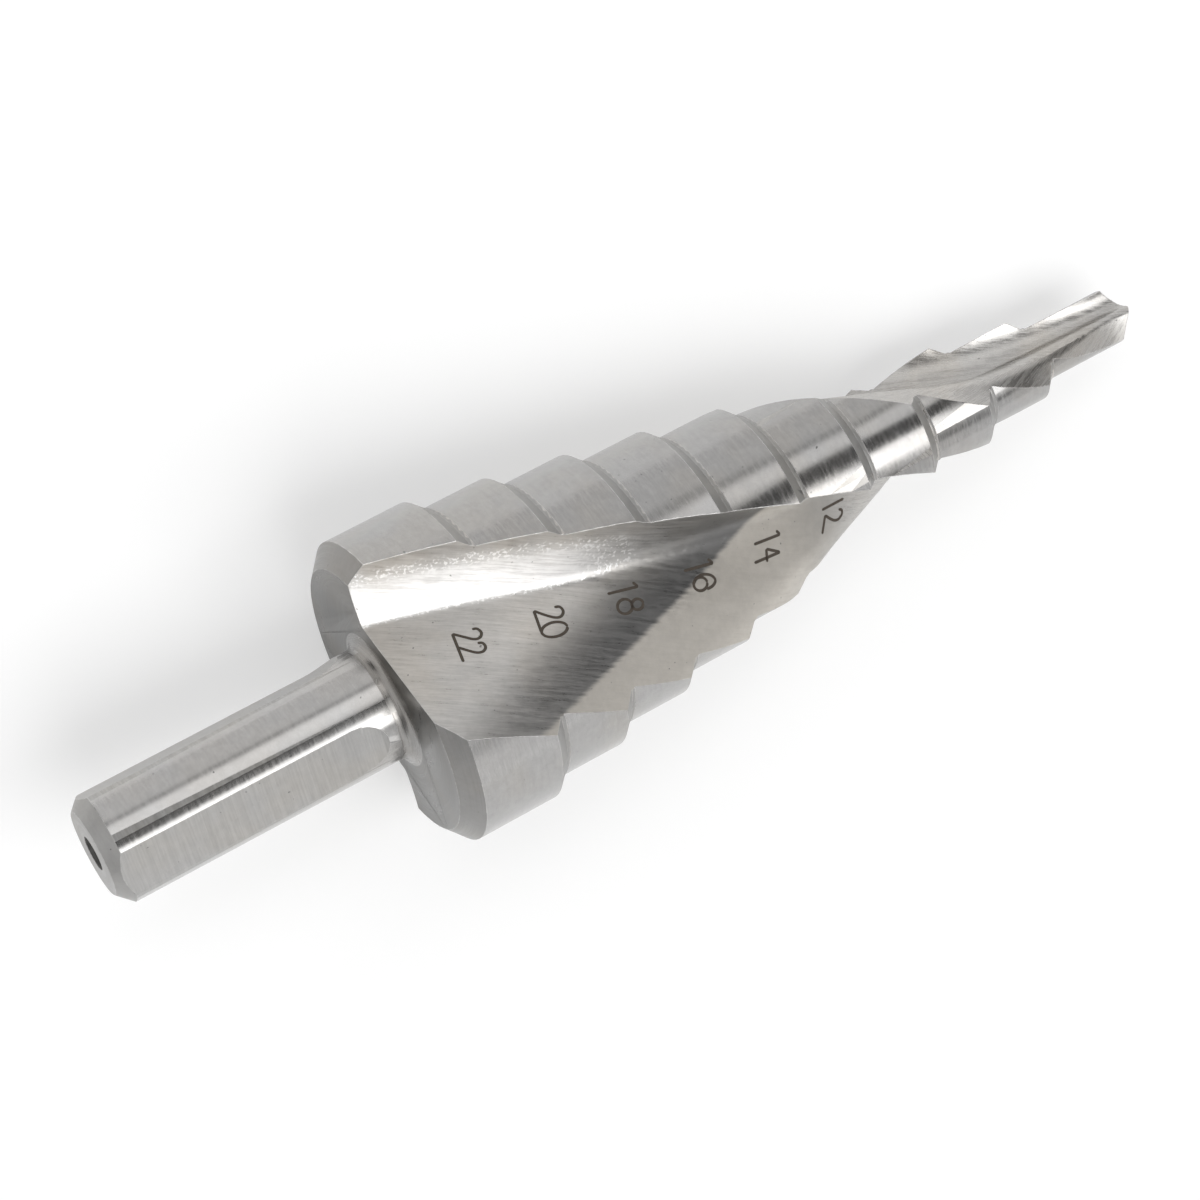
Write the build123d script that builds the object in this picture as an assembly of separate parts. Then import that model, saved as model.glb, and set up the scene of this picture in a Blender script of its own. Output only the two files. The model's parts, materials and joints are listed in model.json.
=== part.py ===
from build123d import *
import math
import os

# Step drill, all in millimetres and degrees.
# Modelled along its own axis, shank end at 0 and point at +Z, then laid down as it comes to rest.

# Shank with three drive flats
shank_dia = 8.0
shank_len = 21.45
shank_end_chamfer = 1.0
flat_depth = 0.42
flat_len = 17.6
flat_runout_radius = 6.0
flat_count = 3
first_flat_angle = 38.0
centre_hole_dia = 2.1
centre_hole_depth = 2.6
centre_cone_angle = 60.0
centre_mouth_depth = 0.35
neck_fillet = 0.9

# Stepped body
tip_dia = 4.0
dia_rise = 2.0
step_count = 10
step_pitch = 5.65
rear_land = 5.8
cone_angle = 45.0
foot_radius = 0.45
back_chamfer_long = 1.2
back_chamfer_high = 1.4
tip_step_len = 7.45

# Point
point_angle = 118.0
lip_relief = 12.0

# Two right-hand flutes, opposite one another, measured along the body from its back face
flute_count = 2
flute_start_angle = -34.4
flute_rate = 0.784
flute_extra_turn = 76.5
flute_extra_from = 6.0
flute_extra_to = 63.4
flute_quick_turn = 22.3
flute_quick_from = 36.0
flute_quick_to = 50.0
web_half_back = 6.07
web_half_tip = 0.44
web_taper_from = -3.3
web_taper_to = 48.5
corner_set_back = 2.49
corner_set_tip = -0.38
corner_set_from = -8.0
corner_set_to = 15.0
rake_lean_back = 29.5
rake_lean_tip = 43.8
rake_hollow_share = 0.85
corner_radius_back = 0.5
corner_radius_middle = 1.5
corner_radius_tip = 0.6
corner_widest_at = 26.0
rake_overrun = 0.3
flute_clearance = 3.0
flute_stations = 21
flute_run_in = 3.0
cut_overrun = 1.0

# Relief behind the heel of each land, rounded into the long wall
relief_start_angle = -2.3
relief_rate = 2.04
relief_extra_turn = 84.7
relief_extra_from = 23.6
relief_extra_to = 55.6
relief_lean_back = 23.3
relief_lean_tip = 48.0
crest_radius_back = 14.0
crest_radius_tip = 1.2
crest_radius_to = 40.0
least_wall = 0.15

# Rest on the floor, on the flute that faces down
rest_roll_guess = 183.0
rest_roll_reach = 12.0
rest_tilt_most = 15.0
rest_search_end = 0.00001

# Sizes that follow
shank_r = shank_dia / 2
back_face = shank_len
first_rim = back_face + back_chamfer_long + rear_land
body_r = (tip_dia + (step_count - 1) * dia_rise) / 2
step_drop = dia_rise / 2
last_rim = first_rim + (step_count - 2) * step_pitch
lip_corner = last_rim + tip_step_len
apex = lip_corner + tip_dia / 2 / math.tan(math.radians(point_angle / 2))
body_len = apex - back_face
tip_step_start = last_rim - back_face


def ease(value, low, high):
    """Smooth rise from 0 at low to 1 at high."""
    share = min(max((value - low) / (high - low), 0.0), 1.0)
    return share * share * (3 - 2 * share)


def polar(radius, angle):
    return radius * math.cos(math.radians(angle)), radius * math.sin(math.radians(angle))


def rim_cone(along):
    """Radius of the cone through all rims, at a distance from the back face."""
    return body_r - (along + back_face - first_rim) * step_drop / step_pitch


def flute_turn(along):
    """Direction in which the long wall faces."""
    return (flute_start_angle + flute_rate * along
            + flute_extra_turn * ease(along, flute_extra_from, flute_extra_to)
            + flute_quick_turn * ease(along, flute_quick_from, flute_quick_to))


def relief_turn(along):
    """Direction in which the relief behind the heel faces."""
    return (relief_start_angle + relief_rate * along
            + relief_extra_turn * ease(along, relief_extra_from, relief_extra_to))


def between(back, tip, share):
    return back + (tip - back) * share


def web_half(along):
    """Distance of the long wall from the axis."""
    return between(web_half_back, web_half_tip, ease(along, web_taper_from, web_taper_to))


def corner_set(along):
    """How far the corner of the flute lies to the side of the axis."""
    return between(corner_set_back, corner_set_tip, ease(along, corner_set_from, corner_set_to))


def corner_radius(along):
    if along < corner_widest_at:
        return between(corner_radius_back, corner_radius_middle, ease(along, 0, corner_widest_at))
    return between(corner_radius_middle, corner_radius_tip, ease(along, corner_widest_at, tip_step_start))


def relief_low(along):
    """Distance of the relief from the axis."""
    lean = between(relief_lean_back, relief_lean_tip, share_to_tip(along))
    return land_radius(along) * math.cos(math.radians(lean))


def land_radius(along):
    return max(rim_cone(along), tip_dia / 2)


def share_to_tip(along):
    return min(max(along / body_len, 0), 1)


def rake_circle(along):
    """Centre and radius of the hollow rake wall, before the flute is turned."""
    radius = rake_hollow_share * land_radius(along)
    lean = between(rake_lean_back, rake_lean_tip, share_to_tip(along))
    return Vector(web_half(along), -corner_set(along)) + Vector(*polar(radius, 90 - lean)), radius


def on_rake(along, reach):
    """Point of the rake wall at a distance from the axis."""
    centre, radius = rake_circle(along)
    base = (reach ** 2 - radius ** 2 + centre.dot(centre)) / (2 * centre.length)
    side = math.sqrt(reach ** 2 - base ** 2)
    out = centre.normalized()
    return out * base + Vector(out.Y, -out.X) * side


def blank():
    """Turned blank: shank, neck fillet, ten steps and the back chamfer."""
    foot_tangent = foot_radius * math.tan(math.radians(cone_angle / 2))
    cone_long = step_drop / math.tan(math.radians(cone_angle))
    with BuildPart() as made:
        with BuildSketch(Plane.XZ):
            with BuildLine():
                at = Vector(0, 0)

                def to(x, z):
                    nonlocal at
                    Line(at, (x, z))
                    at = Vector(x, z)

                to(shank_r - shank_end_chamfer, 0)
                to(shank_r, shank_end_chamfer)
                to(shank_r, back_face - neck_fillet)
                RadiusArc(at, (shank_r + neck_fillet, back_face), neck_fillet)
                at = Vector(shank_r + neck_fillet, back_face)
                to(body_r - back_chamfer_high, back_face)
                to(body_r, back_face + back_chamfer_long)
                radius, rim = body_r, first_rim
                for _ in range(step_count - 1):
                    to(radius, rim)
                    low = radius - step_drop
                    slant = foot_tangent * math.sin(math.radians(cone_angle))
                    drop = foot_tangent * math.cos(math.radians(cone_angle))
                    to(low + slant, rim + cone_long - drop)
                    foot = (low, rim + cone_long + foot_tangent)
                    RadiusArc(at, foot, -foot_radius)
                    at = Vector(*foot)
                    radius, rim = low, rim + step_pitch
                to(tip_dia / 2, apex + cut_overrun)
                to(0, apex + cut_overrun)
                to(0, 0)
            make_face()
        revolve(axis=Axis.Z)
    return made.part


def centre_hole():
    """Centre hole in the shank end, with its drilled cone and a countersunk mouth."""
    bore = centre_hole_dia / 2
    mouth = bore + centre_mouth_depth / 2
    cone = bore / math.tan(math.radians(centre_cone_angle))
    with BuildPart() as made:
        with BuildSketch(Plane.XZ):
            with BuildLine():
                Polyline((0, -cut_overrun), (mouth, -cut_overrun), (mouth, 0), (bore, centre_mouth_depth),
                         (bore, centre_hole_depth), (0, centre_hole_depth + cone), close=True)
            make_face()
        revolve(axis=Axis.Z)
    return made.part


def drive_flats():
    """Three flats, each running out in the curve of the wheel that ground it."""
    low = shank_r - flat_depth
    high = shank_r + cut_overrun
    run = math.sqrt(flat_runout_radius ** 2 - (flat_runout_radius - flat_depth - cut_overrun) ** 2)
    with BuildPart() as made:
        with BuildSketch(Plane.XZ):
            with BuildLine():
                Line((high, -cut_overrun), (low, -cut_overrun))
                Line((low, -cut_overrun), (low, flat_len))
                RadiusArc((low, flat_len), (high, flat_len + run), flat_runout_radius)
                Line((high, flat_len + run), (high, -cut_overrun))
            make_face()
        extrude(amount=shank_dia, both=True)
    return [made.part.rotate(Axis.Z, first_flat_angle + 360 / flat_count * n) for n in range(flat_count)]


def flute_section(along):
    """Outline of the flute: rake wall, corner, long wall, crest, relief and a closing arc outside."""
    turn = flute_turn(along)
    wall_x = web_half(along)
    rake_centre, rake_r = rake_circle(along)
    round_r = corner_radius(along)
    corner_y = rake_centre.Y - math.sqrt((rake_r - round_r) ** 2
                                         - (wall_x + round_r - rake_centre.X) ** 2)
    corner_centre = Vector(wall_x + round_r, corner_y)
    corner_out = Vector(wall_x, corner_y)
    corner_in = rake_centre + (corner_centre - rake_centre).normalized() * rake_r

    bend = relief_turn(along) - turn
    crest_y = ((relief_low(along) - math.cos(math.radians(bend)) * wall_x)
               / math.sin(math.radians(bend)))
    crest = Vector(wall_x, crest_y)
    crest_r = between(crest_radius_back, crest_radius_tip, ease(along, 0, crest_radius_to))
    crest_off = min(crest_r * math.tan(math.radians(bend) / 2), crest_y - corner_y - least_wall)
    relief = Vector(*polar(1, 90 + bend))
    crest_in, crest_out = crest - Vector(0, crest_off), crest + relief * crest_off

    reach = max(land_radius(along), crest_out.length) + flute_clearance
    rake_end = on_rake(along, land_radius(along) + rake_overrun)
    rake_out = rake_end.normalized() * reach
    dot = crest.dot(relief)
    relief_end = crest + relief * (math.sqrt(dot * dot - crest.dot(crest) + reach ** 2) - dot)
    first = math.degrees(math.atan2(rake_out.Y, rake_out.X))
    last = math.degrees(math.atan2(relief_end.Y, relief_end.X))
    with BuildSketch(Plane.XY.offset(back_face + along)) as made:
        with BuildLine():
            Line(rake_out, rake_end)
            RadiusArc(rake_end, corner_in, rake_r)
            RadiusArc(corner_in, corner_out, round_r)
            Line(corner_out, crest_in)
            TangentArc(crest_in, crest_out, tangent=(0, 1))
            Line(crest_out, relief_end)
            ThreePointArc(relief_end, polar(reach, (first + last) / 2), rake_out)
        make_face()
    return made.sketch.rotate(Axis.Z, turn)


def flute():
    low, high = -flute_run_in, body_len + flute_run_in
    step = (high - low) / (flute_stations - 1)
    return loft([flute_section(low + step * n) for n in range(flute_stations)])


def lip_angle():
    """Angle of the cutting lip where the rake wall meets the land at the point."""
    along = lip_corner - back_face
    lip = on_rake(along, tip_dia / 2)
    return flute_turn(along) + math.degrees(math.atan2(lip.Y, lip.X))


def point_roof():
    """Two flanks of the point, kept as a roof whose ridge is the chisel edge."""
    along_lip = 1 / math.tan(math.radians(point_angle / 2))
    behind = math.tan(math.radians(lip_relief))
    slope = math.hypot(along_lip, behind)
    steep = math.degrees(math.atan2(-behind, along_lip))
    wide = body_r * 2
    with BuildPart() as made:
        with BuildSketch(Plane.XZ):
            with BuildLine():
                Polyline((-wide, -cut_overrun), (wide, -cut_overrun), (wide, apex - tip_dia * slope),
                         (tip_dia, apex - tip_dia * slope), (0, apex),
                         (-tip_dia, apex - tip_dia * slope), (-wide, apex - tip_dia * slope), close=True)
            make_face()
        extrude(amount=wide, both=True)
    return made.part.rotate(Axis.Z, lip_angle() + steep)


def step_drill():
    body = blank()
    for cut in drive_flats():
        body -= cut
    body -= centre_hole()
    groove = flute()
    for n in range(flute_count):
        body -= groove.rotate(Axis.Z, 360 / flute_count * n)
    return body & point_roof()


def lowest(height, low, high):
    """Place of the lowest value between two ends."""
    while high - low > rest_search_end:
        third = (high - low) / 3
        if height(low + third) < height(high - third):
            high -= third
        else:
            low += third
    return (low + high) / 2


def rest_angles(shape):
    """Roll and tilt at which the drill lies on one flute with its weight as low as it goes."""
    centre = shape.center(CenterOf.MASS)
    corners = [(vertex.X - centre.X, vertex.Y - centre.Y, vertex.Z - centre.Z)
               for vertex in shape.vertices()]

    def height(roll, tilt):
        x, y = polar(math.cos(math.radians(tilt)), roll)
        z = math.sin(math.radians(tilt))
        return max(corner[0] * x + corner[1] * y + corner[2] * z for corner in corners)

    def best_tilt(roll):
        return lowest(lambda tilt: height(roll, tilt), 0, rest_tilt_most)

    roll = lowest(lambda roll: height(roll, best_tilt(roll)),
                  rest_roll_guess - rest_roll_reach, rest_roll_guess + rest_roll_reach)
    return roll, best_tilt(roll)


def laid_down(shape):
    """The drill on the floor, point towards +X, origin below the middle of its box."""
    roll, tilt = rest_angles(shape)
    laid = shape.rotate(Axis.Z, -roll).rotate(Axis.Y, 90 + tilt)
    box = laid.bounding_box()
    return laid.translate((-(box.min.X + box.max.X) / 2, -(box.min.Y + box.max.Y) / 2, -box.min.Z))


os.makedirs("parts", exist_ok=True)
drill = laid_down(step_drill())
drill.label = "step_drill"
export_step(drill, "parts/step_drill.step")
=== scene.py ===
"""A step drill of bare ground steel, lying on a pale floor. Metres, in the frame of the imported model."""

import json
import math

import bmesh
import bpy
import numpy as np
from mathutils import Matrix, Vector
from mathutils.bvhtree import BVHTree


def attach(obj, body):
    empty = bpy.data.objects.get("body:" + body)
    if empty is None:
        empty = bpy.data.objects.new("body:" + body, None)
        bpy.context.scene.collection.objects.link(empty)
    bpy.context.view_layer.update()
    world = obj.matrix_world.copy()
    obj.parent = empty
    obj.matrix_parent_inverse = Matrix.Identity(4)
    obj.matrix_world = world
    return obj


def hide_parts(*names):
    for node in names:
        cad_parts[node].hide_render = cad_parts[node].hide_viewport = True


MM = 0.001
NODE = "step_drill"
BODY = "root"

# Sizes of the drill along its axis and out from it, in millimetres, and its first drive flat in degrees
FIRST_FLAT_ANGLE = 38.0
BACK_FACE = 21.45
NECK = 0.9
BODY_R = 11.0
BACK_CHAMFER = 1.2
REAR_LAND = 5.8
FIRST_RIM = BACK_FACE + BACK_CHAMFER + REAR_LAND
STEP_PITCH = 5.65
STEP_DROP = 1.0
STEPS = 10
TIP_STEP = 7.45
LIP_CORNER = FIRST_RIM + (STEPS - 2) * STEP_PITCH + TIP_STEP

# The flutes turn round the axis with the distance from the back face: degrees, degrees a millimetre,
# and extra turns with the distances between which each comes in
FLUTE_START = -34.4
FLUTE_RATE = 0.784
FLUTE_TURNS = ((76.5, 6.0, 63.4), (22.3, 36.0, 50.0))

# Regions of the drill's surface, each with its own finish
SHANK, FLATS, END, HOLE, NECK_RING, BACK, CHAMFER, LANDS, CONES, FLUTE_UP, FLUTE_DOWN, POINT = range(12)

# Limits in millimetres that a region's face centres lie within
LEAST_R = 1e-6
HOLE_R = 1.35
HOLE_REACH = 3.4
HOLE_CONE = 0.3
END_FLAT = 0.02
END_REACH = 1.2
NECK_START = BACK_FACE - NECK - 0.05
CHAMFER_R = 9.0
LAND_SLACK = 0.06
CONES_END = LIP_CORNER - 2.0
POINT_START = LIP_CORNER - 0.9
FLAT_ENOUGH = 0.002

# Limits that a region's unit normals lie within: round the axis, out from it and along it
TURNED_AROUND = 0.02
HOLE_INWARD = -0.2
BACKWARD = -0.3
LAND_OUTWARD = 0.98
CONE_OUTWARD = 0.3
POINT_FORWARD = 0.35

# Needle-thin faces of the mesh at the back face, in millimetres
NEEDLE_RISE = 0.06
NEEDLE_LENGTH = 3.0
MERGE_METRES = 1e-7

# Edges that turn less than this are shaded smooth, and the wheel's marks cross the flute at this slant
SHARP_TURN = math.radians(28)
FLUTE_SLANT = math.radians(33)

# The long wall's second pass of the wheel starts along a line that crosses it, in millimetres from the
# flute's middle and from the back face
SECOND_PASS_START = 12.62
SECOND_PASS_SLOPE = -0.463
SECOND_PASS_END = (29.0, 37.0)
SECOND_PASS_LINE = (0.15, 0.65)
SECOND_PASS_COLOUR = (0.58, 0.55, 0.505)
SECOND_PASS_ROUGHER = 1.3

# Painted shade darkens the first pass's colour towards that line, and less so near the back, where a dark
# reflection falls on the long wall
PAINTED_SHADE_BAND = (-5.2, -0.6)
PAINTED_SHADE_FADES = (1.0, 15.0)
PAINTED_SHADE_LEAST = 0.35
PAINTED_SHADE_COLOUR = (0.215, 0.213, 0.21)
PASS_RAGGED = 0.12

# A painted highlight lies on the rake wall beside the root, near the back, near white in colour with painted
# glints where it starts: degrees round the root, and millimetres from the back face and from the flute's
# middle
PAINTED_HIGHLIGHT_ANGLES = (8.0, 52.0, 72.0, 86.0)
PAINTED_HIGHLIGHT_END = (12.0, 20.0)
PAINTED_HIGHLIGHT_SIDE = (1.0, 2.2)
PAINTED_HIGHLIGHT_COLOUR = (0.92, 0.91, 0.90)
PAINTED_HIGHLIGHT_ROUGHER = 1.25
PAINTED_HIGHLIGHT_FLECKS = (0.0, 0.75, 0.55, 1.0)
PAINTED_GLINT_STARTS = (0.02, 0.25)
PAINTED_GLINT_FADES = (0.45, 0.95)

# The flute is smoother towards the tip
TIP_POLISH = (30.0, 44.0)
TIP_SMOOTHER = 0.8

# Edges: how far they are rounded, in millimetres, and the bright metal that shows in patches where the
# rounded normal leaves the face's own
EDGE_ROUND = 0.09
EDGE_SAMPLES = 4
EDGE_COLOUR = (0.86, 0.85, 0.84)
EDGE_LEVELS = (0.84, 0.99)
EDGE_PATCHES = (0.38, 0.60, 0.25, 1.0)

# Tool marks: noise as scale, detail and roughness, the bands' share of the lines' scale, the levels
# between which streaks come in, and the part of a turn that lays highlights across the marks
LINE_NOISE = (1.0, 3.0, 0.6)
BAND_NOISE = (1.0, 2.0, 0.5)
BAND_SHARE = 0.28
STREAK_LEVELS = (0.72, 1.28)
ACROSS_THE_MARKS = 0.25

# Age: noise as scale in a metre, detail and roughness, and the levels between which each effect comes in
TINTED_SHARE = 0.5
CAST_NOISE = (190.0, 3.0, 0.5)
CAST_LEVELS = (0.38, 0.66)
CLOUD_NOISE = (1500.0, 4.0, 0.7)
PIT_NOISE = (3300.0, 1.0, 0.5)
PIT_LEVELS = (0.765, 0.80)
PIT_SHADE = 0.45
# Specks for the painted glints where the rake wall's painted highlight starts
GLINT_SPECK_NOISE = (4200.0, 2.0, 0.5)
GLINT_SPECK_LEVELS = (0.52, 0.62)
MOTTLING = (0.3, 0.7, 0.955, 1.04)
CLOUD_IN_ROUGHNESS = 0.5
ROUGHNESS_LEVELS = (0.1, 1.35)

# How the photograph was taken: pixels of its 1200 x 1200 frame, millimetres and radians
PHOTO_SIZE = 1200
SENSOR = 36.0
FOCAL_PIXELS = 3266.083
RIM_PIXEL = (475.109, 651.580)
RIM_DISTANCE = 216.393
AXIS_IN_PICTURE = -0.487794
AXIS_AWAY = 0.303296
CLIP_NEAR = 0.01
CLIP_FAR = 10.0

# The floor, whose own glow takes it to white where no shadow falls, and its half width in metres
FLOOR_COLOUR = (0.66, 0.66, 0.66)
FLOOR_GLOW = 0.36
FLOOR_ROUGHNESS = 0.9
FLOOR_HALF = 3.0

# The light tent and its panels: spans along the drill and over it in degrees, soft edge, brightness
TENT = 0.84
HALF_EDGE = 0.5
PANELS = (
    (-35, 75, -12, 12, 7, 0.13),
    (34, 64, -10, 44, 10, 0.10),
    (-60, -18, -78, -36, 16, 0.10),
    (-55, -20, 62, 100, 16, 0.15),
    (-30, 34, 13, 33, 8, 1.4),
    (-40, 60, 36, 44, 6, 0.5),
    (-18, 29, -43, -15, 6, 4.2),
    (-14, 16, -96, -56, 14, 1.3),
    (17, 60, -67, -56, 6, 0.3),
)

# Numbers burnt into the flute for each step's size: their strokes in millimetres and shares of a width,
# and the burnt metal's noise, colours, roughness and gloss
MARK_WIDTH = 0.21
MARK_END = 0.5
MARK_LIFT = 0.006
MARK_SEARCH = 0.4
MARK_ACROSS = (-1, -0.5, 0, 0.5, 1)
MARK_NOISE = (9000.0, 2.0, 0.5)
MARK_DARKEST = (0.045, 0.036, 0.029)
MARK_PALEST = (0.10, 0.084, 0.068)
MARK_ROUGHNESS = (0.2, 0.8, 0.55, 0.75)
MARK_SPECULAR = 0.2

# The strokes' places in the photograph's pixels: straight, through a few points, and rings by their
# centre, upper reach and sideways reach
MARK_SPACING = 1.2
LEAST_POINTS = 3
CURVE_STEPS = 6
RING_POINTS = 33
STRAIGHT_STROKES = (
    ((452.3, 634.0), (463.5, 662.0)),
    ((533.8, 611.0), (541.5, 632.5)),
    ((607.5, 594.0), (638.0, 586.5)),
    ((632.5, 582.3), (638.0, 586.5)),
    ((684.0, 571.0), (713.0, 563.0)),
    ((707.5, 559.0), (713.0, 563.0)),
    ((754.0, 544.5), (780.0, 534.3)),
    ((776.0, 530.5), (780.0, 534.3)),
    ((754.5, 563.0), (780.0, 552.0)),
    ((780.0, 552.0), (766.3, 549.0)),
    ((766.3, 549.0), (767.3, 562.0)),
    ((822.0, 510.0), (843.5, 498.5)),
    ((825.2, 515.3), (822.3, 534.0)),
)
ROUND_STROKES = (
    ((472, 629.3), (477, 628.8), (481.3, 632.5), (480, 637.5), (474, 639.2), (464, 637.0), (452.3, 634)),
    ((477.5, 643.2), (482.5, 643), (485.6, 647), (483.3, 651.3), (477, 652.6), (468, 650.5), (458, 647.5)),
    ((554.3, 607.3), (559.5, 606.8), (563.2, 611), (561.5, 616), (556, 617.6), (546.5, 615.5), (533.8, 611)),
    ((707, 589.3), (713, 585.5), (715.3, 580), (711, 575.3), (703, 574.6), (696.5, 578.3), (694.2, 583)),
    ((838.5, 509.3), (841.5, 509.8), (841.8, 514), (838.5, 519), (834, 520.2), (829, 518), (825.2, 515.3)),
)
RING_STROKES = (
    ((554.5, 629.5), (12.8, -3.0), (2.0, 7.0)),
    ((625.0, 606.5), (7.4, -1.5), (1.5, 7.2)),
    ((637.5, 604.3), (5.6, -1.2), (1.1, 5.3)),
    ((700.5, 584.0), (6.6, -1.8), (1.5, 6.6)),
)


def unit(v):
    return v / np.linalg.norm(v)


def drill_axes(record):
    """The drill's own frame, from its mounts: columns x, y and axis, and the shank end's centre in mm."""
    mounts = {m["name"]: m for m in record["mounts"]}
    axis = -unit(np.array(mounts["shank_end"]["axis"]))
    flat = np.array(mounts["drive_flat_1"]["axis"])
    flat = unit(flat - axis * (flat @ axis))
    side = np.cross(axis, flat)
    turn = math.radians(FIRST_FLAT_ANGLE)
    c, s = math.cos(turn), math.sin(turn)
    middle = np.array(mounts["shank"]["pos_m"])
    end = np.array(mounts["shank_end"]["pos_m"])
    origin = middle - axis * ((middle - end) @ axis)
    return np.stack([c * flat - s * side, s * flat + c * side, axis], 1), origin / MM


def ease(value, low, high):
    """Smooth rise from 0 at low to 1 at high."""
    share = np.clip((value - low) / (high - low), 0, 1)
    return share * share * (3 - 2 * share)


def flute_turn(along, under=False):
    """Direction in which a flute's long wall faces, in radians, at a distance from the back face."""
    turned = FLUTE_START + FLUTE_RATE * along
    for extra, low, high in FLUTE_TURNS:
        turned = turned + extra * ease(along, low, high)
    return float(np.radians(turned)) + (math.pi if under else 0)


def region_of(centre, normal):
    """The region that a face belongs to, from its centre and normal in the drill's own frame."""
    x, y, z = centre
    r = max(math.hypot(x, y), LEAST_R)
    outward = (x * normal[0] + y * normal[1]) / r
    turned = abs(x * normal[1] - y * normal[0]) / r < TURNED_AROUND
    backward = normal[2] < BACKWARD
    if z < HOLE_REACH and r < HOLE_R and (outward < HOLE_INWARD or z > HOLE_CONE):
        return HOLE
    if z < END_FLAT or (z < END_REACH and backward):
        return END
    if z < BACK_FACE - FLAT_ENOUGH:
        if z > NECK_START and turned:
            return NECK_RING
        return SHANK if turned else FLATS
    if abs(z - BACK_FACE) < FLAT_ENOUGH:
        return BACK
    if z < BACK_FACE + BACK_CHAMFER and turned and backward and r > CHAMFER_R:
        return CHAMFER
    step = math.ceil((z - FIRST_RIM) / STEP_PITCH)
    land = BODY_R - STEP_DROP * min(max(step, 0), STEPS - 1)
    if turned and outward > LAND_OUTWARD and abs(r - land) < LAND_SLACK:
        return LANDS
    in_step = land - LAND_SLACK < r < land + STEP_DROP + LAND_SLACK
    if turned and outward > CONE_OUTWARD and in_step and z < CONES_END:
        return CONES
    if z > POINT_START and normal[2] > POINT_FORWARD:
        return POINT
    towards = math.atan2(y, x) - flute_turn(z - BACK_FACE)
    return FLUTE_UP if math.cos(towards) > 0 else FLUTE_DOWN


def grain_uv(region, point, centre):
    """Place of a corner on its surface in millimetres: along the marks of the tool, and across them."""
    x, y, z = point
    if region in (FLUTE_UP, FLUTE_DOWN, POINT):
        turn = flute_turn(z - BACK_FACE, region == FLUTE_DOWN)
        c, s = math.cos(turn), math.sin(turn)
        over = c * y - s * x - (c * x + s * y)
        c, s = math.cos(FLUTE_SLANT), math.sin(FLUTE_SLANT)
        return (c * z + s * over, c * over - s * z)
    middle = math.atan2(centre[1], centre[0])
    if region == FLATS:
        return (math.cos(middle) * y - math.sin(middle) * x, z)
    off = math.atan2(y, x) - middle
    off = (off + math.pi) % (2 * math.pi) - math.pi
    return ((middle + off) * math.hypot(centre[0], centre[1]), z + math.hypot(x, y))


def wall_uv(point, normal, under):
    """Distance past the second pass's line in mm, and how strongly the painted highlight lies on the rake
    wall, from 0 to 1.
    """
    x, y, z = point
    along = z - BACK_FACE
    turn = flute_turn(along, under)
    c, s = math.cos(turn), math.sin(turn)
    side = c * y - s * x
    faces = math.degrees(math.atan2(c * normal[1] - s * normal[0], c * normal[0] + s * normal[1]))
    start, full, fades, end = PAINTED_HIGHLIGHT_ANGLES
    painted_highlight = ease(faces, start, full) * (1 - ease(faces, fades, end))
    painted_highlight *= (1 - ease(along, *PAINTED_HIGHLIGHT_END)) * (1 - ease(side, *PAINTED_HIGHLIGHT_SIDE))
    return (side - SECOND_PASS_START - SECOND_PASS_SLOPE * along, float(painted_highlight))


def weld_needles(bm, axes, origin):
    """Weld shut the needle-thin faces that lie across the back face."""
    moves = {}
    for face in bm.faces:
        rises = {v: (axes.T @ (np.array(v.co) / MM - origin))[2] - BACK_FACE for v in face.verts}
        highest = max(rises.values())
        if min(rises.values()) < -FLAT_ENOUGH or not FLAT_ENOUGH < highest < NEEDLE_RISE:
            continue
        short, _, long = sorted(face.edges, key=lambda e: e.calc_length())
        if long.calc_length() > NEEDLE_LENGTH * MM:
            low, high = sorted(short.verts, key=rises.get)
            moves[high] = low
    bmesh.ops.weld_verts(bm, targetmap=moves)


def map_walls(bm, axes, local, wall):
    """Fill the map that says where on a flute's wall each corner lies, and how strongly the painted
    highlight lies there.
    """
    for face in bm.faces:
        kind = face.material_index
        if kind not in (FLUTE_UP, FLUTE_DOWN):
            continue
        for loop in face.loops:
            beside = [f for f in loop.vert.link_faces if f.material_index == kind]
            normal = axes.T @ np.array(sum((f.normal * f.calc_area() for f in beside), Vector()))
            loop[wall].uv = wall_uv(local[loop.vert], normal, kind == FLUTE_DOWN)


def dressed_copy(node, axes, origin):
    """A merged copy of the drill, with a finish and the maps that it follows for each face."""
    bm = bmesh.new()
    bm.from_mesh(node.data)
    bmesh.ops.remove_doubles(bm, verts=bm.verts, dist=MERGE_METRES)
    weld_needles(bm, axes, origin)
    bm.normal_update()
    grain = bm.loops.layers.uv.new("grain")
    wall = bm.loops.layers.uv.new("wall")
    along = bm.verts.layers.float.new("along")
    local = {v: axes.T @ (np.array(v.co) / MM - origin) for v in bm.verts}
    for vert, point in local.items():
        vert[along] = point[2] - BACK_FACE
    for face in bm.faces:
        centre = sum((local[v] for v in face.verts), np.zeros(3)) / len(face.verts)
        face.material_index = region_of(centre, axes.T @ np.array(face.normal))
        face.smooth = face.material_index != BACK
        for loop in face.loops:
            loop[grain].uv = grain_uv(face.material_index, local[loop.vert], centre)
    map_walls(bm, axes, local, wall)
    for edge in bm.edges:
        kinds = {f.material_index for f in edge.link_faces}
        soft = kinds <= {SHANK, NECK_RING} or kinds <= {LANDS, CONES} or len(kinds) == 1
        edge.smooth = soft and edge.calc_face_angle(0) < SHARP_TURN
    mesh = bpy.data.meshes.new("drill")
    bm.to_mesh(mesh)
    bm.free()
    return placed("drill", mesh)


def placed(name, data):
    """A new object at the origin, in the scene."""
    made = bpy.data.objects.new(name, data)
    bpy.context.scene.collection.objects.link(made)
    return made


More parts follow.
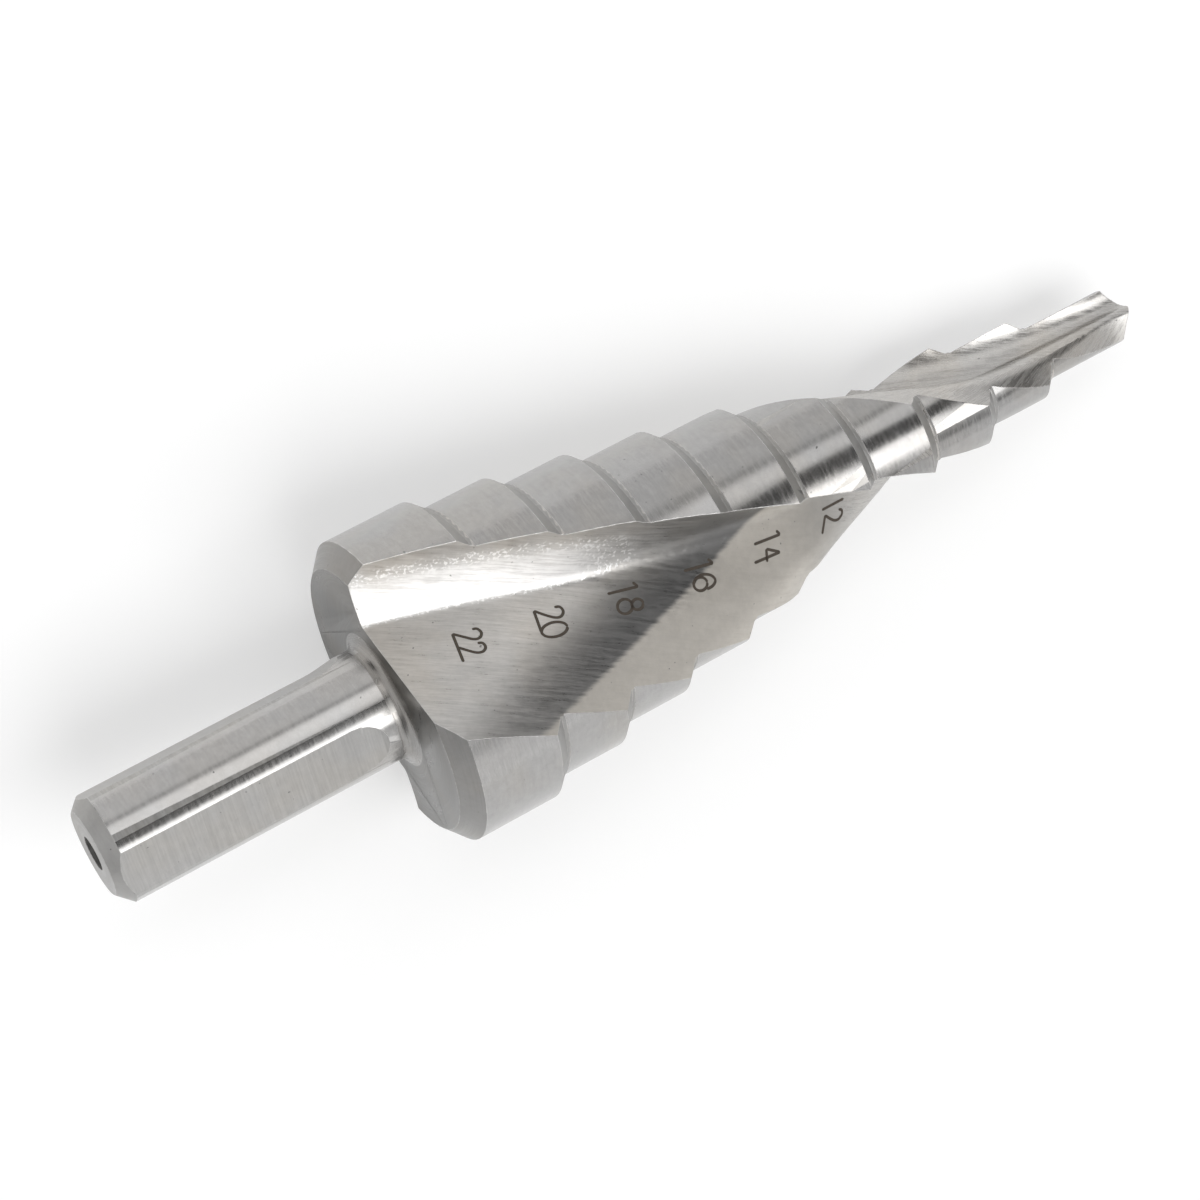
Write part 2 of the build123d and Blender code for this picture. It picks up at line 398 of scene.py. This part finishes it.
def link(tree, a, b):
    tree.links.new(a, b)


def operation_node(tree, kind, operation, *values):
    """A node that works something out of sockets or numbers."""
    node = tree.nodes.new(kind)
    node.operation = operation
    for socket, value in zip(node.inputs, values):
        if isinstance(value, (int, float)):
            socket.default_value = value
        else:
            link(tree, value, socket)
    return node


def math_node(tree, operation, *values):
    """Result of a Math node."""
    return operation_node(tree, "ShaderNodeMath", operation, *values).outputs["Value"]


def vector_node(tree, operation, *values):
    """A Vector Math node."""
    return operation_node(tree, "ShaderNodeVectorMath", operation, *values)


def new_group(name, inputs, outputs, kind="NodeSocketFloat"):
    """An empty shader group with inputs of one kind and number outputs, and its entry and exit nodes."""
    group = bpy.data.node_groups.new(name, "ShaderNodeTree")
    for socket in inputs:
        group.interface.new_socket(name=socket, in_out="INPUT", socket_type=kind)
    for socket in outputs:
        group.interface.new_socket(name=socket, in_out="OUTPUT", socket_type="NodeSocketFloat")
    return group, group.nodes.new("NodeGroupInput"), group.nodes.new("NodeGroupOutput")


def noise(tree, vector, scale, detail, roughness):
    """A noise's value."""
    made = tree.nodes.new("ShaderNodeTexNoise")
    for name, number in (("Scale", scale), ("Detail", detail), ("Roughness", roughness)):
        made.inputs[name].default_value = number
    link(tree, vector, made.inputs["Vector"])
    return made.outputs["Fac"]


def ramp(tree, value, low, high, to_low=0.0, to_high=1.0):
    """Smooth step of a value between two levels."""
    made = tree.nodes.new("ShaderNodeMapRange")
    made.interpolation_type = "SMOOTHSTEP"
    levels = {"From Min": low, "From Max": high, "To Min": to_low, "To Max": to_high}
    for name, number in levels.items():
        made.inputs[name].default_value = number
    link(tree, value, made.inputs["Value"])
    return made.outputs["Result"]


def mix_colour(tree, factor, a, b, blend="MIX"):
    """Mix of two colours, each a socket or a plain colour."""
    made = tree.nodes.new("ShaderNodeMix")
    made.data_type = "RGBA"
    made.blend_type = blend
    colours = [s for s in made.inputs if s.type == "RGBA"]
    for socket, value in zip(colours, (a, b)):
        if isinstance(value, tuple):
            socket.default_value = (*value, 1)
        else:
            link(tree, value, socket)
    if isinstance(factor, (int, float)):
        made.inputs["Factor"].default_value = factor
    else:
        link(tree, factor, made.inputs["Factor"])
    return next(s for s in made.outputs if s.type == "RGBA")


def uv_map(tree, name):
    """Place on a named map of the surface."""
    made = tree.nodes.new("ShaderNodeUVMap")
    made.uv_map = name
    return made.outputs["UV"]


def object_place(tree):
    """Place on the piece, in metres."""
    return tree.nodes.new("ShaderNodeTexCoord").outputs["Object"]


def tool_marks_group():
    """Fine lines left by a wheel or a turning tool. Stretch is lines to a mm, along and across, on a map."""
    maps = ("Grain", "Stretch")
    group, entry, leave = new_group("tool_marks", maps, ("Height", "Streak"), "NodeSocketVector")
    group.interface.new_socket(name="Coarse", in_out="INPUT", socket_type="NodeSocketFloat")
    fine = vector_node(group, "MULTIPLY", entry.outputs["Grain"], entry.outputs["Stretch"])
    wide = vector_node(group, "SCALE", fine.outputs["Vector"])
    wide.inputs["Scale"].default_value = BAND_SHARE
    lines = noise(group, fine.outputs["Vector"], *LINE_NOISE)
    bands = noise(group, wide.outputs["Vector"], *BAND_NOISE)
    coarse = math_node(group, "MULTIPLY", bands, entry.outputs["Coarse"])
    link(group, math_node(group, "ADD", lines, coarse), leave.inputs["Height"])
    both = math_node(group, "ADD", lines, bands)
    link(group, ramp(group, both, *STREAK_LEVELS), leave.inputs["Streak"])
    return group


def age_group():
    """A warm cast, clouding, tiny pits, and specks for the painted glints, that vary over the whole drill.
    """
    names = ("Cast", "Cloud", "Pits", "Glint Specks")
    group, entry, leave = new_group("age", ("Place",), names, "NodeSocketVector")
    place = entry.outputs["Place"]
    link(group, ramp(group, noise(group, place, *CAST_NOISE), *CAST_LEVELS), leave.inputs["Cast"])
    link(group, noise(group, place, *CLOUD_NOISE), leave.inputs["Cloud"])
    link(group, ramp(group, noise(group, place, *PIT_NOISE), *PIT_LEVELS), leave.inputs["Pits"])
    link(group, ramp(group, noise(group, place, *GLINT_SPECK_NOISE), *GLINT_SPECK_LEVELS), leave.inputs["Glint Specks"])
    return group


def flute_walls(tree, base, rough, streak, glint_specks):
    """Colour and roughness of the flute's passes: painted shade up to a line, pale past it, and a painted
    highlight with painted glints on the rake wall at the root.
    """
    parts = tree.nodes.new("ShaderNodeSeparateXYZ")
    link(tree, uv_map(tree, "wall"), parts.inputs["Vector"])
    past, painted_highlight = parts.outputs["X"], parts.outputs["Y"]
    place = tree.nodes.new("ShaderNodeAttribute")
    place.attribute_name = "along"
    along = place.outputs["Fac"]

    reach = ramp(tree, along, *SECOND_PASS_END, 1.0, 0.0)
    shade_strength = math_node(tree, "MULTIPLY", ramp(tree, along, *PAINTED_SHADE_FADES, PAINTED_SHADE_LEAST, 1.0), reach)
    ragged = math_node(tree, "ADD", past, math_node(tree, "MULTIPLY", streak, PASS_RAGGED))
    # Painted shade: the long wall's colour darkens towards the second pass's line
    shade = math_node(tree, "MULTIPLY", ramp(tree, ragged, *PAINTED_SHADE_BAND), shade_strength)
    second = math_node(tree, "MULTIPLY", ramp(tree, ragged, *SECOND_PASS_LINE), reach)
    colour = mix_colour(tree, shade, base, PAINTED_SHADE_COLOUR)
    colour = mix_colour(tree, second, colour, SECOND_PASS_COLOUR)

    # Painted highlight: the rake wall near the root is painted near white, flecked along the streaks
    highlight_flecks = math_node(tree, "MULTIPLY", painted_highlight, ramp(tree, streak, *PAINTED_HIGHLIGHT_FLECKS))
    colour = mix_colour(tree, highlight_flecks, colour, PAINTED_HIGHLIGHT_COLOUR)
    # Painted glints: near-white specks where the painted highlight starts
    starts = ramp(tree, painted_highlight, *PAINTED_GLINT_STARTS)
    ends = math_node(tree, "MULTIPLY", starts, ramp(tree, painted_highlight, *PAINTED_GLINT_FADES, 1.0, 0.0))
    colour = mix_colour(tree, math_node(tree, "MULTIPLY", ends, glint_specks), colour, PAINTED_HIGHLIGHT_COLOUR)

    for factor in (
        ramp(tree, along, *TIP_POLISH, 1.0, TIP_SMOOTHER),
        ramp(tree, second, 0.0, 1.0, 1.0, SECOND_PASS_ROUGHER),
        ramp(tree, painted_highlight, 0.0, 1.0, 1.0, PAINTED_HIGHLIGHT_ROUGHER),
    ):
        rough = math_node(tree, "MULTIPLY", rough, factor)
    return colour, rough


def worn_edges(tree, cloud):
    """The surface's normal with its edges rounded, and how bright they are worn."""
    rounded = tree.nodes.new("ShaderNodeBevel")
    rounded.samples = EDGE_SAMPLES
    rounded.inputs["Radius"].default_value = EDGE_ROUND * MM
    normal = rounded.outputs["Normal"]
    shape = tree.nodes.new("ShaderNodeNewGeometry")
    facing = vector_node(tree, "DOT_PRODUCT", normal, shape.outputs["Normal"])
    worn = ramp(tree, facing.outputs["Value"], *EDGE_LEVELS, 1.0, 0.0)
    return normal, math_node(tree, "MULTIPLY", worn, ramp(tree, cloud, *EDGE_PATCHES))


def steel(name, groups, colour, warm, roughness, spread, anisotropy, depth, along, across, coarse=0.4,
          streaks=0.10, in_flute=False):
    """Bare steel with tool marks along the grain map, a warm cast in places and bright worn edges."""
    material = bpy.data.materials.new(name)
    material.use_nodes = True
    tree = material.node_tree
    shader = tree.nodes["Principled BSDF"]
    shader.inputs["Metallic"].default_value = 1.0
    shader.inputs["Anisotropic"].default_value = anisotropy
    shader.inputs["Anisotropic Rotation"].default_value = ACROSS_THE_MARKS
    tangent = tree.nodes.new("ShaderNodeTangent")
    tangent.direction_type = "UV_MAP"
    tangent.uv_map = "grain"
    link(tree, tangent.outputs["Tangent"], shader.inputs["Tangent"])

    marks = tree.nodes.new("ShaderNodeGroup")
    marks.node_tree = groups["marks"]
    link(tree, uv_map(tree, "grain"), marks.inputs["Grain"])
    marks.inputs["Stretch"].default_value = (along, across, 0)
    marks.inputs["Coarse"].default_value = coarse
    streak = marks.outputs["Streak"]
    age = tree.nodes.new("ShaderNodeGroup")
    age.node_tree = groups["age"]
    link(tree, object_place(tree), age.inputs["Place"])
    cloud = age.outputs["Cloud"]

    tinted = mix_colour(tree, age.outputs["Cast"], colour, warm)
    light = tuple(min(1.0, c * (1 + streaks)) for c in colour)
    dark = tuple(c * (1 - streaks) for c in colour)
    lined = mix_colour(tree, streak, dark, light)
    base = mix_colour(tree, 1 - TINTED_SHARE, tinted, lined)
    uneven = math_node(tree, "ADD", streak, math_node(tree, "MULTIPLY", cloud, CLOUD_IN_ROUGHNESS))
    rough = ramp(tree, uneven, *ROUGHNESS_LEVELS, roughness - spread, roughness + spread)
    # In the flute, painted shade and a painted highlight with painted glints go into the base colour
    if in_flute:
        base, rough = flute_walls(tree, base, rough, streak, age.outputs["Glint Specks"])
    link(tree, rough, shader.inputs["Roughness"])

    base = mix_colour(tree, 1.0, base, ramp(tree, cloud, *MOTTLING), "MULTIPLY")
    base = mix_colour(tree, age.outputs["Pits"], base, tuple(c * PIT_SHADE for c in colour))
    normal, worn = worn_edges(tree, cloud)
    link(tree, mix_colour(tree, worn, base, EDGE_COLOUR), shader.inputs["Base Color"])
    bump = tree.nodes.new("ShaderNodeBump")
    bump.inputs["Strength"].default_value = 1.0
    bump.inputs["Distance"].default_value = depth * MM
    link(tree, marks.outputs["Height"], bump.inputs["Height"])
    link(tree, normal, bump.inputs["Normal"])
    link(tree, bump.outputs["Normal"], shader.inputs["Normal"])
    return material


def finishes():
    """The finish of each region, from the wheel, the lathe or the drill that made it."""
    groups = {"marks": tool_marks_group(), "age": age_group()}
    flute = dict(colour=(0.50, 0.488, 0.472), warm=(0.51, 0.475, 0.43), roughness=0.33, spread=0.06,
                 anisotropy=0.85, depth=0.003, along=0.9, across=13.0, coarse=0.6, streaks=0.22,
                 in_flute=True)
    turned = dict(colour=(0.40, 0.395, 0.39), warm=(0.41, 0.39, 0.362), streaks=0.10)
    shank = dict(colour=(0.47, 0.465, 0.459), warm=(0.475, 0.455, 0.43), streaks=0.07)
    dull = dict(colour=(0.36, 0.355, 0.348), warm=(0.36, 0.345, 0.32), streaks=0.10)
    dark = dict(colour=(0.19, 0.188, 0.184), warm=(0.20, 0.185, 0.165), streaks=0.4)
    return {
        SHANK: steel("ground_shank", groups, **shank, roughness=0.2, spread=0.035, anisotropy=0.5,
                     depth=0.0016, along=1.6, across=14.0),
        FLATS: steel("ground_flat", groups, colour=(0.41, 0.405, 0.398), warm=(0.42, 0.40, 0.37),
                     streaks=0.24, roughness=0.36, spread=0.07, anisotropy=0.6, depth=0.006, along=0.4,
                     across=7.5, coarse=0.5),
        END: steel("shank_end", groups, **dull, roughness=0.42, spread=0.08, anisotropy=0.3,
                   depth=0.004, along=0.5, across=5.0),
        HOLE: steel("centre_hole", groups, colour=(0.10, 0.097, 0.094), warm=(0.11, 0.10, 0.09),
                    roughness=0.5, spread=0.1, anisotropy=0.2, depth=0.01, along=0.5, across=4.0),
        NECK_RING: steel("neck_ring", groups, colour=(0.30, 0.296, 0.29), warm=(0.31, 0.285, 0.255),
                         streaks=0.25, roughness=0.27, spread=0.09, anisotropy=0.4, depth=0.006,
                         along=0.5, across=7.0),
        BACK: steel("turned_back", groups, **dark, roughness=0.34, spread=0.08, anisotropy=0.6,
                    depth=0.008, along=0.12, across=5.0, coarse=1.2),
        CHAMFER: steel("turned_chamfer", groups, colour=(0.27, 0.266, 0.26), warm=(0.28, 0.26, 0.235),
                       streaks=0.15, roughness=0.36, spread=0.08, anisotropy=0.5, depth=0.005, along=0.2,
                       across=6.0),
        LANDS: steel("turned_land", groups, **turned, roughness=0.22, spread=0.05, anisotropy=0.5,
                     depth=0.0022, along=1.6, across=13.0),
        CONES: steel("turned_cone", groups, **dull, roughness=0.46, spread=0.06, anisotropy=0.3,
                     depth=0.004, along=0.4, across=6.0),
        FLUTE_UP: steel("ground_flute", groups, **flute),
        FLUTE_DOWN: steel("ground_flute_under", groups, **flute),
        POINT: steel("ground_point", groups, colour=(0.36, 0.355, 0.35), warm=(0.37, 0.35, 0.32),
                     roughness=0.32, spread=0.06, anisotropy=0.5, depth=0.004, along=0.4, across=8.0),
    }


def burnt_mark():
    """Dark line that a laser burnt into the steel."""
    material = bpy.data.materials.new("burnt_mark")
    material.use_nodes = True
    tree = material.node_tree
    shader = tree.nodes["Principled BSDF"]
    shader.inputs["Specular IOR Level"].default_value = MARK_SPECULAR
    grain = noise(tree, object_place(tree), *MARK_NOISE)
    link(tree, mix_colour(tree, grain, MARK_DARKEST, MARK_PALEST), shader.inputs["Base Color"])
    link(tree, ramp(tree, grain, *MARK_ROUGHNESS), shader.inputs["Roughness"])
    return material


def photo_camera(axes, origin):
    """Camera with the photograph's lens, place and direction, from where it shows the drill's axis."""
    pixels = np.array([*(np.array(RIM_PIXEL) - PHOTO_SIZE / 2), FOCAL_PIXELS])
    rim = pixels / FOCAL_PIXELS * RIM_DISTANCE
    axis = np.array([
        math.cos(AXIS_AWAY) * math.cos(AXIS_IN_PICTURE),
        math.cos(AXIS_AWAY) * math.sin(AXIS_IN_PICTURE),
        math.sin(AXIS_AWAY),
    ])
    back = -unit(rim)
    x = unit(back - axis * (back @ axis))
    seen = np.stack([x, np.cross(axis, x), axis], 1)
    place = -seen.T @ rim + np.array([0, 0, FIRST_RIM])
    turn = axes @ seen.T
    # Pixels run down and depth runs forwards, and the camera's own Y runs up and its Z backwards
    matrix = np.eye(4)
    matrix[:3, :3] = turn * np.array([1, -1, -1])
    matrix[:3, 3] = (axes @ place + origin) * MM
    data = bpy.data.cameras.new("camera")
    data.sensor_width = SENSOR
    data.lens = SENSOR * FOCAL_PIXELS / PHOTO_SIZE
    data.clip_start = CLIP_NEAR
    data.clip_end = CLIP_FAR
    camera = placed("camera", data)
    camera.matrix_world = Matrix(matrix.tolist())
    bpy.context.scene.camera = camera
    return camera


def smooth_through(points):
    """Points of a smooth curve through a few pixels, by the Catmull-Rom formula."""
    ends = [2 * points[0] - points[1], *points, 2 * points[-1] - points[-2]]
    out = []
    for a, b, c, d in zip(ends, ends[1:], ends[2:], ends[3:]):
        for n in range(CURVE_STEPS):
            t = n / CURVE_STEPS
            square = (2 * a - 5 * b + 4 * c - d) * t ** 2
            cube = (3 * b - a - 3 * c + d) * t ** 3
            out.append(0.5 * (2 * b + (c - a) * t + square + cube))
    return [*out, points[-1]]


def mark_strokes():
    """Every stroke of the numbers on the flute, as points in the photograph's pixels."""
    strokes = [[np.array(p) for p in line] for line in STRAIGHT_STROKES]
    strokes += [smooth_through([np.array(p) for p in curve]) for curve in ROUND_STROKES]
    turns = np.linspace(0, 2 * math.pi, RING_POINTS)
    for centre, up, over in np.array(RING_STROKES):
        strokes.append([centre + math.cos(t) * up + math.sin(t) * over for t in turns])
    return strokes


def even_points(points, spacing):
    """The same line with points at an even spacing."""
    points = np.array(points)
    runs = np.linalg.norm(np.diff(points, axis=0), axis=1)
    reach = np.concatenate([[0], np.cumsum(runs)])
    count = max(LEAST_POINTS, round(reach[-1] / spacing) + 1)
    at = np.linspace(0, reach[-1], count)
    return np.stack([np.interp(at, reach, points[:, k]) for k in range(points.shape[1])], 1)


def seen_on(surface, matrix, stroke):
    """Places on the drill, with their normals, where the camera sees a stroke's pixels."""
    line, normals = [], []
    for x, y in even_points(stroke, MARK_SPACING):
        ray = Vector(((x - PHOTO_SIZE / 2) / FOCAL_PIXELS, (PHOTO_SIZE / 2 - y) / FOCAL_PIXELS, -1))
        hit, normal, _, _ = surface.ray_cast(matrix.translation, (matrix.to_3x3() @ ray).normalized())
        line.append(hit)
        normals.append(normal)
    return line, normals


def ribbon(surface, line, normals):
    """Rows of points across a thin ribbon that lies just above the surface along a line."""
    points = []
    last = len(line) - 1
    for n, (point, normal) in enumerate(zip(line, normals)):
        ahead = (line[min(n + 1, last)] - line[max(n - 1, 0)]).normalized()
        across = normal.cross(ahead).normalized()
        half = MARK_WIDTH / 2 * MM * (MARK_END if n in (0, last) else 1)
        for share in MARK_ACROSS:
            above = point + across * (half * share) + normal * (MARK_SEARCH * MM)
            hit, _, _, _ = surface.ray_cast(above, -normal)
            points.append((hit or above) + normal * (MARK_LIFT * MM))
    return points


def size_numbers(camera, drill):
    """The step sizes as thin burnt lines that lie on the flute's long wall."""
    bm = bmesh.new()
    bm.from_mesh(drill.data)
    surface = BVHTree.FromBMesh(bm)
    bm.free()
    wide = len(MARK_ACROSS)
    verts, faces = [], []
    for stroke in mark_strokes():
        line, normals = seen_on(surface, camera.matrix_world, stroke)
        first = len(verts)
        verts += ribbon(surface, line, normals)
        for row in range(len(line) - 1):
            for column in range(wide - 1):
                a = first + wide * row + column
                faces.append((a, a + 1, a + wide + 1, a + wide))
    mesh = bpy.data.meshes.new("size_numbers")
    mesh.from_pydata(verts, [], faces)
    mesh.materials.append(burnt_mark())
    return placed("size_numbers", mesh)


def floor():
    """A plain pale floor that is white to the camera and keeps the drill's shadow."""
    material = bpy.data.materials.new("floor")
    material.use_nodes = True
    tree = material.node_tree
    shader = tree.nodes["Principled BSDF"]
    shader.inputs["Base Color"].default_value = (*FLOOR_COLOUR, 1)
    shader.inputs["Roughness"].default_value = FLOOR_ROUGHNESS
    shader.inputs["Specular IOR Level"].default_value = 0.0
    shader.inputs["Emission Color"].default_value = (1, 1, 1, 1)
    rays = tree.nodes.new("ShaderNodeLightPath")
    seen = math_node(tree, "MAXIMUM", rays.outputs["Is Camera Ray"], rays.outputs["Is Glossy Ray"])
    seen = math_node(tree, "MAXIMUM", seen, rays.outputs["Is Transmission Ray"])
    link(tree, math_node(tree, "MULTIPLY", seen, FLOOR_GLOW), shader.inputs["Emission Strength"])

    mesh = bpy.data.meshes.new("floor")
    corners = [(x * FLOOR_HALF, y * FLOOR_HALF, 0) for x, y in ((-1, -1), (1, -1), (1, 1), (-1, 1))]
    mesh.from_pydata(corners, [], [(0, 1, 2, 3)])
    mesh.materials.append(material)
    placed("floor", mesh)


def panel_group():
    """Mask of one studio panel: inside its spans along the drill and over it, with soft edges."""
    names = ("Along", "Over", "Along Middle", "Along Half", "Over Middle", "Over Half", "Edge")
    group, entry, leave = new_group("studio_panel", names, ("Mask",))
    sides = []
    for name in ("Along", "Over"):
        away = math_node(group, "SUBTRACT", entry.outputs[name], entry.outputs[name + " Middle"])
        away = math_node(group, "ABSOLUTE", away)
        past = math_node(group, "SUBTRACT", away, entry.outputs[name + " Half"])
        share = math_node(group, "DIVIDE", past, entry.outputs["Edge"])
        sides.append(ramp(group, share, -HALF_EDGE, HALF_EDGE, 1.0, 0.0))
    link(group, math_node(group, "MULTIPLY", *sides), leave.inputs["Mask"])
    return group


def studio_light():
    """A plain pale tent with soft bright and dark panels, and the camera's dark gap between them."""
    world = bpy.data.worlds.new("studio")
    bpy.context.scene.world = world
    world.use_nodes = True
    tree = world.node_tree
    direction = tree.nodes.new("ShaderNodeTexCoord")
    parts = tree.nodes.new("ShaderNodeSeparateXYZ")
    link(tree, direction.outputs["Generated"], parts.inputs["Vector"])
    along = math_node(tree, "ARCSINE", parts.outputs["X"])
    over = math_node(tree, "ARCTAN2", parts.outputs["Y"], parts.outputs["Z"])
    group = panel_group()
    level = None
    for along_from, along_to, over_from, over_to, edge, strength in PANELS:
        panel = tree.nodes.new("ShaderNodeGroup")
        panel.node_tree = group
        link(tree, along, panel.inputs["Along"])
        link(tree, over, panel.inputs["Over"])
        for name, value in (
            ("Along Middle", (along_from + along_to) / 2),
            ("Along Half", (along_to - along_from) / 2),
            ("Over Middle", (over_from + over_to) / 2),
            ("Over Half", (over_to - over_from) / 2),
            ("Edge", edge),
        ):
            panel.inputs[name].default_value = math.radians(value)
        mix = tree.nodes.new("ShaderNodeMix")
        mix.data_type = "FLOAT"
        link(tree, panel.outputs["Mask"], mix.inputs["Factor"])
        if level is None:
            mix.inputs["A"].default_value = TENT
        else:
            link(tree, level, mix.inputs["A"])
        mix.inputs["B"].default_value = strength
        level = mix.outputs["Result"]
    background = tree.nodes["Background"]
    background.inputs["Color"].default_value = (1, 1, 1, 1)
    link(tree, level, background.inputs["Strength"])


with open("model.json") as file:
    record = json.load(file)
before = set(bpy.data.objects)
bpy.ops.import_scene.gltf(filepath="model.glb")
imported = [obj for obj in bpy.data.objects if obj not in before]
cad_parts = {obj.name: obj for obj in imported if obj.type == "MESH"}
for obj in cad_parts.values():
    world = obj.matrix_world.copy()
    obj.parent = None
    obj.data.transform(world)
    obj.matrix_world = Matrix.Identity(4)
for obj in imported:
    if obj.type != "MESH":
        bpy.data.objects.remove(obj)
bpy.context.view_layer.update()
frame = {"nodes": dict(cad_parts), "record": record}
axes, origin = drill_axes(frame["record"])
drill = dressed_copy(frame["nodes"][NODE], axes, origin)
for _, material in sorted(finishes().items()):
    drill.data.materials.append(material)
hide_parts(NODE)
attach(drill, BODY)

floor()
studio_light()
camera = photo_camera(axes, origin)
numbers = size_numbers(camera, drill)
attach(numbers, BODY)
bpy.context.scene.view_settings.view_transform = "Standard"
